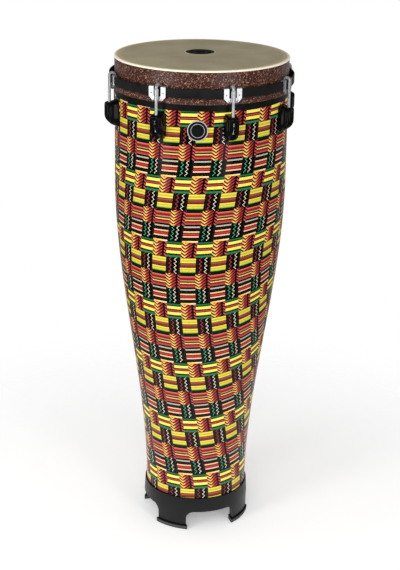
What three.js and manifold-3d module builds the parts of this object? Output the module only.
// Timbau: a tall tapered hand drum with one head, eight tuning lugs and a foot ring with four feet.
// Millimetres, +Z up. The origin is on the floor, at the centre of the foot ring.
// The front of the drum, with the badge, faces -Y. Angles round the drum start at the front.
import * as THREE from 'three';
import { mergeVertices } from 'three/addons/utils/BufferGeometryUtils.js';
import Module from 'manifold-3d';

const wasm = await Module();
wasm.setup();

// Clearance between pieces that touch, how far a cutting shape runs past what it cuts, and how close two
// points lie that are the same point
const GAP = 0.3;
const CUT_MARGIN = 1;
const WELD_DISTANCE = 1e-4;

// Lugs round the drum, and the flats that every large ring has from one lug to the next
const LUG_COUNT = 8;
const FLATS_PER_LUG = 6;

// Flats of small round pieces, and steps along the curved outlines
const ROD_FLATS = 10;
const BADGE_FLATS = 24;
const TAPER_STEPS = 8;
const ROUND_STEPS = 3;
const ROLL_STEPS = 2;
const FLANK_STEPS = 6;
const CORNER_STEPS = 4;
const CURL_STEPS = 9;

// Shell: outer radius at the head and at the foot, length, wall, and its straight stretches
const SHELL_TOP_RADIUS = 165;
const SHELL_FOOT_RADIUS = 100.5;
const SHELL_LENGTH = 907;
const SHELL_WALL = 6;
const STRAIGHT_TOP = 239;
const STRAIGHT_ABOVE_RING = 0.5;
const BEARING_EDGE_ROUND = 3;

// Printed wrap round the shell, and the bare margin that shows between it and the collar's roll
const WRAP_THICKNESS = 0.7;
const MARGIN_SHOWING = 12.5;

// Foot ring and its rubber pads
const PAD_HEIGHT = 9.5;
const PAD_PROUD = 2;
const PAD_CHAMFER = 1.2;
const LEG_HEIGHT = 29.2;
const LEG_THICKNESS = 13.8;
const ARCH_WIDTH = 98;
const ARCH_CORNER = 15;
const RING_FLOOR = 5;
const SOCKET_DEPTH = 24.5;
const SOCKET_WALL = 2.3;
const RING_FLARE = 1.7;
const RING_CHAMFER = 1;
const FOOT_COUNT = 4;
const FOOT_TURN = -23.3;

// Head: skin, rolled rim, side collar, and the roll that holds the flesh hoop
const SKIN_THICKNESS = 1.4;
const RIM_PROUD = 1.1;
const RIM_ROUND = 3;
const RIM_THICKNESS = 1.2;
const COLLAR_STANDOFF = 0.6;
const COLLAR_THICKNESS = 1;
const ROLL_HEIGHT = 12.7;
const ROLL_BULGE = 5.2;
const ROLL_CORNER = 2.6;

// Counterhoop: an upright band with an inward flange that bears on the collar's roll
const HOOP_DROP = 30;
const HOOP_HEIGHT = 17.5;
const HOOP_THICKNESS = 2.5;
const HOOP_FLANGE = 3;
const GROOVE_PLAY = 2.2;

// Tuning hook: a rod that curls over the hoop's edge and ends behind it
const ROD_DIAMETER = 5.5;
const ROD_TAIL = 14;
const CURL_DROP = 0.7;
const LEG_ABOVE_FLANGE = 3.8;

// Claw: a U of sheet folded over the hoop's top edge
const CLAW_THICKNESS = 1.8;
const CLAW_PRONG = 9.75;
const CLAW_SLOT = 14.5;
const CLAW_DROP = 8;
const CLAW_WEB = 8.5;
const CLAW_CORNER = 8;
const CLAW_ABOVE_FLANGE = 7.4;

// Tuning nut: a hexagon, with its width across the flats, and a flange on top, in a chamber with room
// for a socket spanner
const NUT_SIDES = 6;
const NUT_ACROSS_FLATS = 9;
const NUT_HEIGHT = 8;
const NUT_FLANGE = 1.6;
const NUT_FLANGE_DIAMETER = 12.4;
const NUT_ROOM = 0.6;

// Casing round the nut's chamber
const CASING_BELOW_ROLL = 20.5;
const CASING_HEIGHT = 46;
const CASING_CHEEK = 5.7;
const CASING_FRONT_WALL = 1.7;
const CASING_ROUND = 8;
const CASING_FLANK = 24;
const CASING_RISE = 3.2;
const CASING_LIP = 2;
const SEAT_WALL = 9;

// Lug screw, driven from inside the shell into the casing's boss
const SCREW_DIAMETER = 5;
const SCREW_END_ROOM = 1;
const SCREW_HEAD_DIAMETER = 11;
const SCREW_HEAD_HEIGHT = 3.2;
const SCREW_DROP = 24;
const BOSS_END_WALL = 1.8;

// Badge: a plate in a raised rim, both curved like the shell, and how far it sits round from the front
const BADGE_DIAMETER = 38;
const BADGE_RIM_WIDTH = 2;
const BADGE_RIM_HEIGHT = 2.6;
const BADGE_PLATE_HEIGHT = 1.6;
const BADGE_BELOW_MARGIN = 35.3;
const BADGE_TURN = 2;

// A polygon with this many flats clears a round when its corners lie this far out
function cornerRadius(radius, flats) {
  return radius / Math.cos(Math.PI / flats);
}

// Heights that follow from the sizes above, from the floor up
const archTop = PAD_HEIGHT + GAP + LEG_HEIGHT;
const ringSeat = archTop + RING_FLOOR;
const ringTop = ringSeat + SOCKET_DEPTH;
const shellBottom = ringSeat + GAP;
const shellTop = shellBottom + SHELL_LENGTH;
const skinTop = shellTop + GAP + SKIN_THICKNESS;
const hoopTop = shellTop - HOOP_DROP;
const hoopBottom = hoopTop - HOOP_HEIGHT;
const flangeTop = hoopBottom + HOOP_FLANGE;
const curlHeight = hoopTop - CURL_DROP;
const rollTop = hoopBottom - GAP;
const rollBottom = rollTop - ROLL_HEIGHT;
const wrapTop = rollBottom - MARGIN_SHOWING;
const badgeHeight = wrapTop - BADGE_BELOW_MARGIN;
const casingTop = rollBottom - CASING_BELOW_ROLL;
const casingBottom = casingTop - CASING_HEIGHT;
const nutSeat = casingTop - SEAT_WALL;
const screwHeight = casingTop - SCREW_DROP;

// Radii that follow, from the shell out
const wrapOffset = GAP + WRAP_THICKNESS;
const wrapRadius = SHELL_TOP_RADIUS + wrapOffset;
const socketInner = SHELL_FOOT_RADIUS + wrapOffset + GAP;
const ringOuter = socketInner + SOCKET_WALL;
const legOuter = ringOuter + RING_FLARE;
const legInner = legOuter - LEG_THICKNESS;
const collarInner = SHELL_TOP_RADIUS + COLLAR_STANDOFF;
const collarOuter = collarInner + COLLAR_THICKNESS;
const rimRadius = collarOuter + RIM_PROUD;
const bandInner = collarOuter + ROD_DIAMETER + GROOVE_PLAY;
const bandOuter = bandInner + HOOP_THICKNESS;
const clawFront = bandOuter + GAP + CLAW_THICKNESS;
const legRadius = bandInner - GAP - ROD_DIAMETER / 2;
const rodRadius = clawFront + GAP + ROD_DIAMETER / 2;
const nutRadius = cornerRadius(NUT_ACROSS_FLATS / 2, NUT_SIDES);
const chamberRadius = Math.max(NUT_FLANGE_DIAMETER / 2, nutRadius) + NUT_ROOM;
const casingFront = rodRadius + chamberRadius + CASING_FRONT_WALL;
const casingWidth = 2 * (chamberRadius + CASING_CHEEK);
const screwTip = rodRadius - chamberRadius - BOSS_END_WALL - SCREW_END_ROOM;
const rodHoleRadius = cornerRadius(ROD_DIAMETER / 2 + GAP, ROD_FLATS);
const screwHoleRadius = cornerRadius(SCREW_DIAMETER / 2 + GAP, ROD_FLATS);

const ringFlats = FLATS_PER_LUG * LUG_COUNT;

const degrees = THREE.MathUtils.degToRad;

// Closed solid from a three.js geometry, ready to be joined or cut
function solidOf(geometry) {
  const bare = geometry.clone();
  bare.deleteAttribute('normal');
  bare.deleteAttribute('uv');
  const welded = mergeVertices(bare, WELD_DISTANCE);
  const index = welded.index.array;
  const kept = [];
  for (let i = 0; i < index.length; i += 3) {
    const [a, b, c] = [index[i], index[i + 1], index[i + 2]];
    if (a !== b && b !== c && c !== a) {
      kept.push(a, b, c);
    }
  }
  return new wasm.Manifold(new wasm.Mesh({
    numProp: 3,
    vertProperties: new Float32Array(welded.attributes.position.array),
    triVerts: new Uint32Array(kept),
  }));
}

// Geometry that three.js can draw, from a finished solid
function geometryOf(solid) {
  const mesh = solid.getMesh();
  const geometry = new THREE.BufferGeometry();
  geometry.setAttribute('position', new THREE.BufferAttribute(new Float32Array(mesh.vertProperties), 3));
  geometry.setIndex(new THREE.BufferAttribute(new Uint32Array(mesh.triVerts), 1));
  geometry.computeVertexNormals();
  return geometry;
}

// Solid of revolution about Z. The outline is a list of [radius, height], anticlockwise, that starts and
// ends on the axis or closes on itself. A corner of the polygon lies at the front of the drum.
function turned(outline) {
  const points = outline.map(([radius, height]) => new THREE.Vector2(radius, height));
  if (outline[0][0] > 0) {
    points.push(points[0].clone());
  }
  return solidOf(new THREE.LatheGeometry(points, ringFlats).rotateX(Math.PI / 2));
}

// Prism with an outline of [across, height] points or a Shape, running outwards from one distance in
// front of the axis to another
function frontPrism(outline, from, to) {
  const shape = outline instanceof THREE.Shape ? outline : shapeOf(outline);
  const options = { depth: to - from, bevelEnabled: false, curveSegments: CORNER_STEPS };
  const prism = new THREE.ExtrudeGeometry(shape, options);
  prism.translate(0, 0, from);
  const toFront = new THREE.Matrix4().makeBasis(
    new THREE.Vector3(1, 0, 0), new THREE.Vector3(0, 0, 1), new THREE.Vector3(0, -1, 0));
  return solidOf(prism.applyMatrix4(toFront));
}

// Prism with an outline of [distance in front of the axis, height], with its width across the front
function sidePrism(outline, width) {
  const prism = new THREE.ExtrudeGeometry(shapeOf(outline), { depth: width, bevelEnabled: false });
  prism.translate(0, 0, -width / 2);
  const toSide = new THREE.Matrix4().makeBasis(
    new THREE.Vector3(0, -1, 0), new THREE.Vector3(0, 0, 1), new THREE.Vector3(-1, 0, 0));
  return solidOf(prism.applyMatrix4(toSide));
}

function shapeOf(outline) {
  return new THREE.Shape(outline.map(([x, y]) => new THREE.Vector2(x, y)));
}

// Upright round bar in front of the axis
function uprightBar(radius, bottom, top, distance) {
  const bar = new THREE.CylinderGeometry(radius, radius, top - bottom, ROD_FLATS);
  bar.rotateX(Math.PI / 2).translate(0, -distance, (top + bottom) / 2);
  return solidOf(bar);
}

// Round bar that points out from the axis through the front of the drum
function frontBar(radius, from, to, height, flats = ROD_FLATS) {
  const bar = new THREE.CylinderGeometry(radius, radius, to - from, flats);
  bar.translate(0, -(from + to) / 2, height);
  return solidOf(bar);
}

// Points on an arc of an ellipse, from one angle to another, both ends included
function arcPoints(centreX, centreY, radiusX, radiusY, from, to, steps) {
  return Array.from({ length: steps + 1 }, (_, i) => {
    const angle = degrees(from + (to - from) * i / steps);
    return [centreX + radiusX * Math.cos(angle), centreY + radiusY * Math.sin(angle)];
  });
}

// Angle of each lug round the drum. The front lies midway between two lugs.
const lugAngles = Array.from({ length: LUG_COUNT }, (_, i) => degrees(360 * (i + 0.5) / LUG_COUNT));

function turnedBy(solid, angle) {
  return solid.rotate([0, 0, THREE.MathUtils.radToDeg(angle)]);
}

// Screws pass through these holes in the shell and the wrap, one behind each casing
function screwHoles() {
  const hole = frontBar(screwHoleRadius, SHELL_TOP_RADIUS / 2, casingFront, screwHeight);
  return lugAngles.map((angle) => turnedBy(hole, angle)).reduce((all, one) => all.add(one));
}

// Outline of the taper, from foot to head, for a surface that lies this far outside the shell's own.
// The radius eases in and out of the straight stretches.
function taperOutline(offset) {
  const start = ringTop + STRAIGHT_ABOVE_RING;
  const end = shellTop - STRAIGHT_TOP;
  return Array.from({ length: TAPER_STEPS + 1 }, (_, i) => {
    const height = THREE.MathUtils.lerp(start, end, i / TAPER_STEPS);
    const opened = THREE.MathUtils.smoothstep(height, start, end);
    return [THREE.MathUtils.lerp(SHELL_FOOT_RADIUS, SHELL_TOP_RADIUS, opened) + offset, height];
  });
}

function makeShell() {
  const edge = BEARING_EDGE_ROUND;
  const outside = [
    [SHELL_FOOT_RADIUS, shellBottom],
    ...taperOutline(0),
    ...arcPoints(SHELL_TOP_RADIUS - edge, shellTop - edge, edge, edge, 0, 90, ROUND_STEPS),
  ];
  const inside = [
    [SHELL_TOP_RADIUS - SHELL_WALL, shellTop - edge],
    ...taperOutline(-SHELL_WALL).reverse(),
    [SHELL_FOOT_RADIUS - SHELL_WALL, shellBottom],
  ];
  return turned([...outside, ...inside]).subtract(screwHoles());
}

function makeWrap() {
  const outside = [
    [SHELL_FOOT_RADIUS + wrapOffset, shellBottom],
    ...taperOutline(wrapOffset),
    [wrapRadius, wrapTop],
  ];
  const inside = [
    [SHELL_TOP_RADIUS + GAP, wrapTop],
    ...taperOutline(GAP).reverse(),
    [SHELL_FOOT_RADIUS + GAP, shellBottom],
  ];
  return turned([...outside, ...inside]).subtract(screwHoles());
}

function makeSkin() {
  const shoulder = rimRadius - RIM_ROUND;
  const rimBottom = skinTop - RIM_ROUND;
  const innerRound = RIM_ROUND - RIM_THICKNESS;
  return turned([
    [0, skinTop - SKIN_THICKNESS],
    [shoulder, skinTop - SKIN_THICKNESS],
    [shoulder + innerRound, rimBottom],
    ...arcPoints(shoulder, rimBottom, RIM_ROUND, RIM_ROUND, 0, 90, ROUND_STEPS),
    [0, skinTop],
  ]);
}

function makeCollar() {
  const top = skinTop - RIM_ROUND - GAP;
  const corner = ROLL_CORNER;
  const wall = COLLAR_THICKNESS;
  const across = collarOuter + ROLL_BULGE - corner;
  const low = rollBottom + corner;
  const high = rollTop - corner;
  const outside = [
    [collarInner, rollBottom],
    ...arcPoints(across, low, corner, corner, -90, 0, ROLL_STEPS),
    ...arcPoints(across, high, corner, corner, 0, 90, ROLL_STEPS),
    [collarOuter, rollTop],
    [collarOuter, top],
  ];
  const inside = [
    [collarInner, top],
    [collarInner, rollTop - wall],
    ...arcPoints(across, high, corner - wall, corner - wall, 90, 0, ROLL_STEPS),
    ...arcPoints(across, low, corner - wall, corner - wall, 0, -90, ROLL_STEPS),
    [collarInner, rollBottom + wall],
  ];
  return turned([...outside, ...inside]);
}

function makeFleshHoop() {
  const inner = collarInner;
  const outer = collarOuter + ROLL_BULGE - COLLAR_THICKNESS - GAP;
  const bottom = rollBottom + COLLAR_THICKNESS + GAP;
  const top = rollTop - COLLAR_THICKNESS - GAP;
  const round = ROLL_CORNER - COLLAR_THICKNESS;
  return turned([
    [inner, bottom],
    [outer - round, bottom],
    [outer, bottom + round],
    [outer, top - round],
    [outer - round, top],
    [inner, top],
  ]);
}

function makeCounterhoop() {
  return turned([
    [collarOuter + GAP, hoopBottom],
    [bandOuter, hoopBottom],
    [bandOuter, hoopTop],
    [bandInner, hoopTop],
    [bandInner, flangeTop],
    [collarOuter + GAP, flangeTop],
  ]);
}

// Opening between two feet, as a prism from the axis outwards. Its top corners are round.
function archCut(width) {
  const half = width / 2;
  const below = -CUT_MARGIN;
  const shape = new THREE.Shape();
  shape.moveTo(-half, below);
  shape.lineTo(half, below);
  shape.lineTo(half, archTop - ARCH_CORNER);
  shape.absarc(half - ARCH_CORNER, archTop - ARCH_CORNER, ARCH_CORNER, 0, Math.PI / 2, false);
  shape.lineTo(-half + ARCH_CORNER, archTop);
  shape.absarc(-half + ARCH_CORNER, archTop - ARCH_CORNER, ARCH_CORNER, Math.PI / 2, Math.PI, false);
  shape.lineTo(-half, below);
  return frontPrism(shape, 0, legOuter + SHELL_FOOT_RADIUS);
}

const footAngles = Array.from({ length: FOOT_COUNT }, (_, i) => degrees(FOOT_TURN + 360 * i / FOOT_COUNT));
const archTurn = degrees(180 / FOOT_COUNT);

function archCuts(width) {
  const cut = archCut(width);
  return footAngles.map((angle) => turnedBy(cut, angle + archTurn)).reduce((all, one) => all.add(one));
}

function makeFootRing() {
  const bottom = PAD_HEIGHT + GAP;
  const ring = turned([
    [legInner, bottom],
    [legOuter, bottom],
    [legOuter, archTop],
    [ringOuter, ringTop - RING_CHAMFER],
    [ringOuter - RING_CHAMFER, ringTop],
    [socketInner, ringTop],
    [socketInner, ringSeat],
    [legInner, ringSeat],
  ]);
  return ring.subtract(archCuts(ARCH_WIDTH));
}

// One rubber pad under the foot at the front of the ring, before it is turned to its place
function makeFootPad() {
  const inner = legInner - PAD_PROUD;
  const outer = legOuter + PAD_PROUD;
  const ring = turned([
    [inner + PAD_CHAMFER, 0],
    [outer - PAD_CHAMFER, 0],
    [outer, PAD_CHAMFER],
    [outer, PAD_HEIGHT],
    [inner, PAD_HEIGHT],
    [inner, PAD_CHAMFER],
  ]);
  const frontOutline = [[-outer, -CUT_MARGIN], [outer, -CUT_MARGIN], [outer, archTop], [-outer, archTop]];
  const front = frontPrism(frontOutline, outer / 2, outer + CUT_MARGIN);
  const besideArches = [1, -1].map((side) => turnedBy(archCut(ARCH_WIDTH - 2 * PAD_PROUD), side * archTurn));
  return ring.intersect(front).subtract(besideArches[0].add(besideArches[1]));
}

// Chrome claw: the section of the fold, cut to the U outline seen from the front
function makeClaw() {
  const back = bandInner - GAP - CLAW_THICKNESS;
  const backBottom = flangeTop + CLAW_ABOVE_FLANGE;
  const foldUnder = hoopTop + GAP;
  const top = foldUnder + CLAW_THICKNESS;
  const bottom = hoopBottom - CLAW_DROP;
  const fold = turned([
    [bandOuter + GAP, bottom],
    [clawFront, bottom],
    [clawFront, top],
    [back, top],
    [back, backBottom],
    [back + CLAW_THICKNESS, backBottom],
    [back + CLAW_THICKNESS, foldUnder],
    [bandOuter + GAP, foldUnder],
  ]);
  const slot = CLAW_SLOT / 2;
  const half = slot + CLAW_PRONG;
  const webTop = bottom + CLAW_WEB;
  const above = top + CUT_MARGIN;
  const outline = frontPrism([
    [-half + CLAW_CORNER, bottom],
    [half - CLAW_CORNER, bottom],
    [half, bottom + CLAW_CORNER],
    [half, above],
    [slot, above],
    [slot, webTop],
    [-slot, webTop],
    [-slot, above],
    [-half, above],
    [-half, bottom + CLAW_CORNER],
  ], SHELL_TOP_RADIUS, clawFront + CUT_MARGIN);
  return fold.intersect(outline);
}

// Path of the curl at the top of a hook, from the rod over the hoop's edge and down behind it
class CurlPath extends THREE.Curve {
  getPoint(t, target = new THREE.Vector3()) {
    const curl = (rodRadius - legRadius) / 2;
    const centre = (rodRadius + legRadius) / 2;
    const arcLength = Math.PI * curl;
    const legLength = curlHeight - flangeTop - LEG_ABOVE_FLANGE;
    const along = t * (arcLength + legLength);
    if (along < arcLength) {
      const angle = along / curl;
      return target.set(0, -(centre + curl * Math.cos(angle)), curlHeight + curl * Math.sin(angle));
    }
    return target.set(0, -legRadius, curlHeight - (along - arcLength));
  }
}

function makeHook() {
  const round = new THREE.Shape(arcPoints(0, 0, ROD_DIAMETER / 2, ROD_DIAMETER / 2, 0, 360, ROD_FLATS)
    .slice(1).map(([x, y]) => new THREE.Vector2(x, y)));
  const curl = new THREE.ExtrudeGeometry(round, { steps: CURL_STEPS, extrudePath: new CurlPath() });
  const tail = nutSeat - GAP - NUT_HEIGHT - ROD_TAIL;
  return uprightBar(ROD_DIAMETER / 2, tail, curlHeight + GAP / 2, rodRadius).add(solidOf(curl));
}

// Black casing: the side outline and the plan outline together give its form, then it is hollowed
function makeCasing() {
  const inside = wrapRadius - SHELL_WALL;
  const flankTop = casingTop - CASING_FLANK;
  const side = sidePrism([
    [inside, casingBottom],
    ...arcPoints(wrapRadius, flankTop, casingFront - wrapRadius, CASING_HEIGHT - CASING_FLANK,
      -90, 0, FLANK_STEPS),
    [casingFront, casingTop - CASING_LIP],
    [casingFront - CASING_LIP, casingTop],
    [rodRadius - ROD_DIAMETER, casingTop],
    [wrapRadius, casingTop + CASING_RISE],
    [inside, casingTop + CASING_RISE],
  ], casingWidth);
  const half = casingWidth / 2;
  const round = CASING_ROUND;
  const outer = casingFront - round;
  const plan = shapeOf([
    [-half, -inside],
    ...arcPoints(-half + round, -outer, round, round, 180, 270, CORNER_STEPS),
    ...arcPoints(half - round, -outer, round, round, 270, 360, CORNER_STEPS),
    [half, -inside],
  ]);
  const top = casingTop + CASING_RISE + CUT_MARGIN;
  const bottom = casingBottom - CUT_MARGIN;
  const planPrism = new THREE.ExtrudeGeometry(plan, { depth: top - bottom, bevelEnabled: false });
  planPrism.translate(0, 0, bottom);
  const back = wrapRadius + GAP;
  const shellSide = turned([[0, bottom], [back, bottom], [back, top], [0, top]]);
  const chamber = uprightBar(chamberRadius, bottom, nutSeat, rodRadius);
  const rodHole = uprightBar(rodHoleRadius, nutSeat - CUT_MARGIN, top, rodRadius);
  const screwHole = frontBar(screwHoleRadius, inside, screwTip + SCREW_END_ROOM, screwHeight);
  return side.intersect(solidOf(planPrism)).subtract(shellSide)
    .subtract(chamber.add(rodHole).add(screwHole));
}

function makeScrew() {
  const wallInside = SHELL_TOP_RADIUS - SHELL_WALL;
  const seat = wallInside * Math.cos(Math.PI / ringFlats) - GAP;
  const head = frontBar(SCREW_HEAD_DIAMETER / 2, seat - SCREW_HEAD_HEIGHT, seat, screwHeight);
  return head.add(frontBar(SCREW_DIAMETER / 2, seat - SCREW_HEAD_HEIGHT / 2, screwTip, screwHeight));
}

function makeNut() {
  const top = nutSeat - GAP;
  const hexagon = shapeOf(arcPoints(0, 0, nutRadius, nutRadius, 0, 360, NUT_SIDES).slice(1));
  const body = new THREE.ExtrudeGeometry(hexagon, { depth: NUT_HEIGHT, bevelEnabled: false });
  body.translate(0, -rodRadius, top - NUT_HEIGHT);
  const flange = uprightBar(NUT_FLANGE_DIAMETER / 2, top - NUT_FLANGE, top, rodRadius);
  const threadHole = uprightBar(rodHoleRadius, top - NUT_HEIGHT - CUT_MARGIN, top + CUT_MARGIN, rodRadius);
  return solidOf(body).add(flange).subtract(threadHole);
}

// Skin of the shell's curve, outside the wrap, from which the badge's two pieces are cut
function shellCurve(thickness) {
  const back = wrapRadius + GAP;
  const bottom = badgeHeight - BADGE_DIAMETER;
  const top = badgeHeight + BADGE_DIAMETER;
  return turned([[back, bottom], [back + thickness, bottom], [back + thickness, top], [back, top]]);
}

function badgeRound(radius) {
  const round = frontBar(radius, SHELL_FOOT_RADIUS, casingFront, badgeHeight, BADGE_FLATS);
  return turnedBy(round, degrees(BADGE_TURN));
}

function makeBadgeRim() {
  const bore = badgeRound(BADGE_DIAMETER / 2 - BADGE_RIM_WIDTH);
  return shellCurve(BADGE_RIM_HEIGHT).intersect(badgeRound(BADGE_DIAMETER / 2)).subtract(bore);
}

function makeBadgePlate() {
  return shellCurve(BADGE_PLATE_HEIGHT).intersect(badgeRound(BADGE_DIAMETER / 2 - BADGE_RIM_WIDTH - GAP));
}

function finish(color, roughness, metalness = 0) {
  return new THREE.MeshStandardMaterial({ color, roughness, metalness });
}

const materials = {
  shell: finish(0x1b1c1e, 0.5),
  wrap: finish(0xb8452c, 0.45),
  skin: finish(0x989180, 0.55),
  collar: finish(0x5a3227, 0.6),
  steel: finish(0x9a9c9e, 0.35, 1),
  blackSteel: finish(0x232526, 0.4, 0.3),
  chrome: finish(0xd8dadc, 0.12, 1),
  blackPlastic: finish(0x141516, 0.25),
  satinBlack: finish(0x2a2c2e, 0.45),
  rubber: finish(0x1c1c1d, 0.85),
};

function mesh(name, solid, material) {
  const piece = new THREE.Mesh(geometryOf(solid), material);
  piece.name = name;
  return piece;
}

const drum = new THREE.Group();
drum.add(
  mesh('shell', makeShell(), materials.shell),
  mesh('printed_wrap', makeWrap(), materials.wrap),
  mesh('drum_head', makeSkin(), materials.skin),
  mesh('head_collar', makeCollar(), materials.collar),
  mesh('flesh_hoop', makeFleshHoop(), materials.steel),
  mesh('counterhoop', makeCounterhoop(), materials.blackSteel),
  mesh('badge_plate', makeBadgePlate(), materials.blackPlastic),
  mesh('badge_rim', makeBadgeRim(), materials.chrome),
  mesh('foot_ring', makeFootRing(), materials.satinBlack),
);

// Each foot's pad is made at the front and turned under its foot
const footPad = makeFootPad();
footAngles.forEach((angle, i) => {
  const pad = mesh(`foot_pad_${i + 1}`, footPad, materials.rubber);
  pad.rotation.z = angle;
  drum.add(pad);
});

// Each lug's pieces are made at the front and turned together to their place
const lugPieces = [
  ['hoop_claw', makeClaw(), materials.chrome],
  ['tuning_hook', makeHook(), materials.chrome],
  ['lug_casing', makeCasing(), materials.blackPlastic],
  ['tuning_nut', makeNut(), materials.steel],
  ['lug_screw', makeScrew(), materials.steel],
];
lugAngles.forEach((angle, i) => {
  const lug = new THREE.Group();
  lug.rotation.z = angle;
  for (const [name, solid, material] of lugPieces) {
    lug.add(mesh(`${name}_${i + 1}`, solid, material));
  }
  drum.add(lug);
});

export default drum;
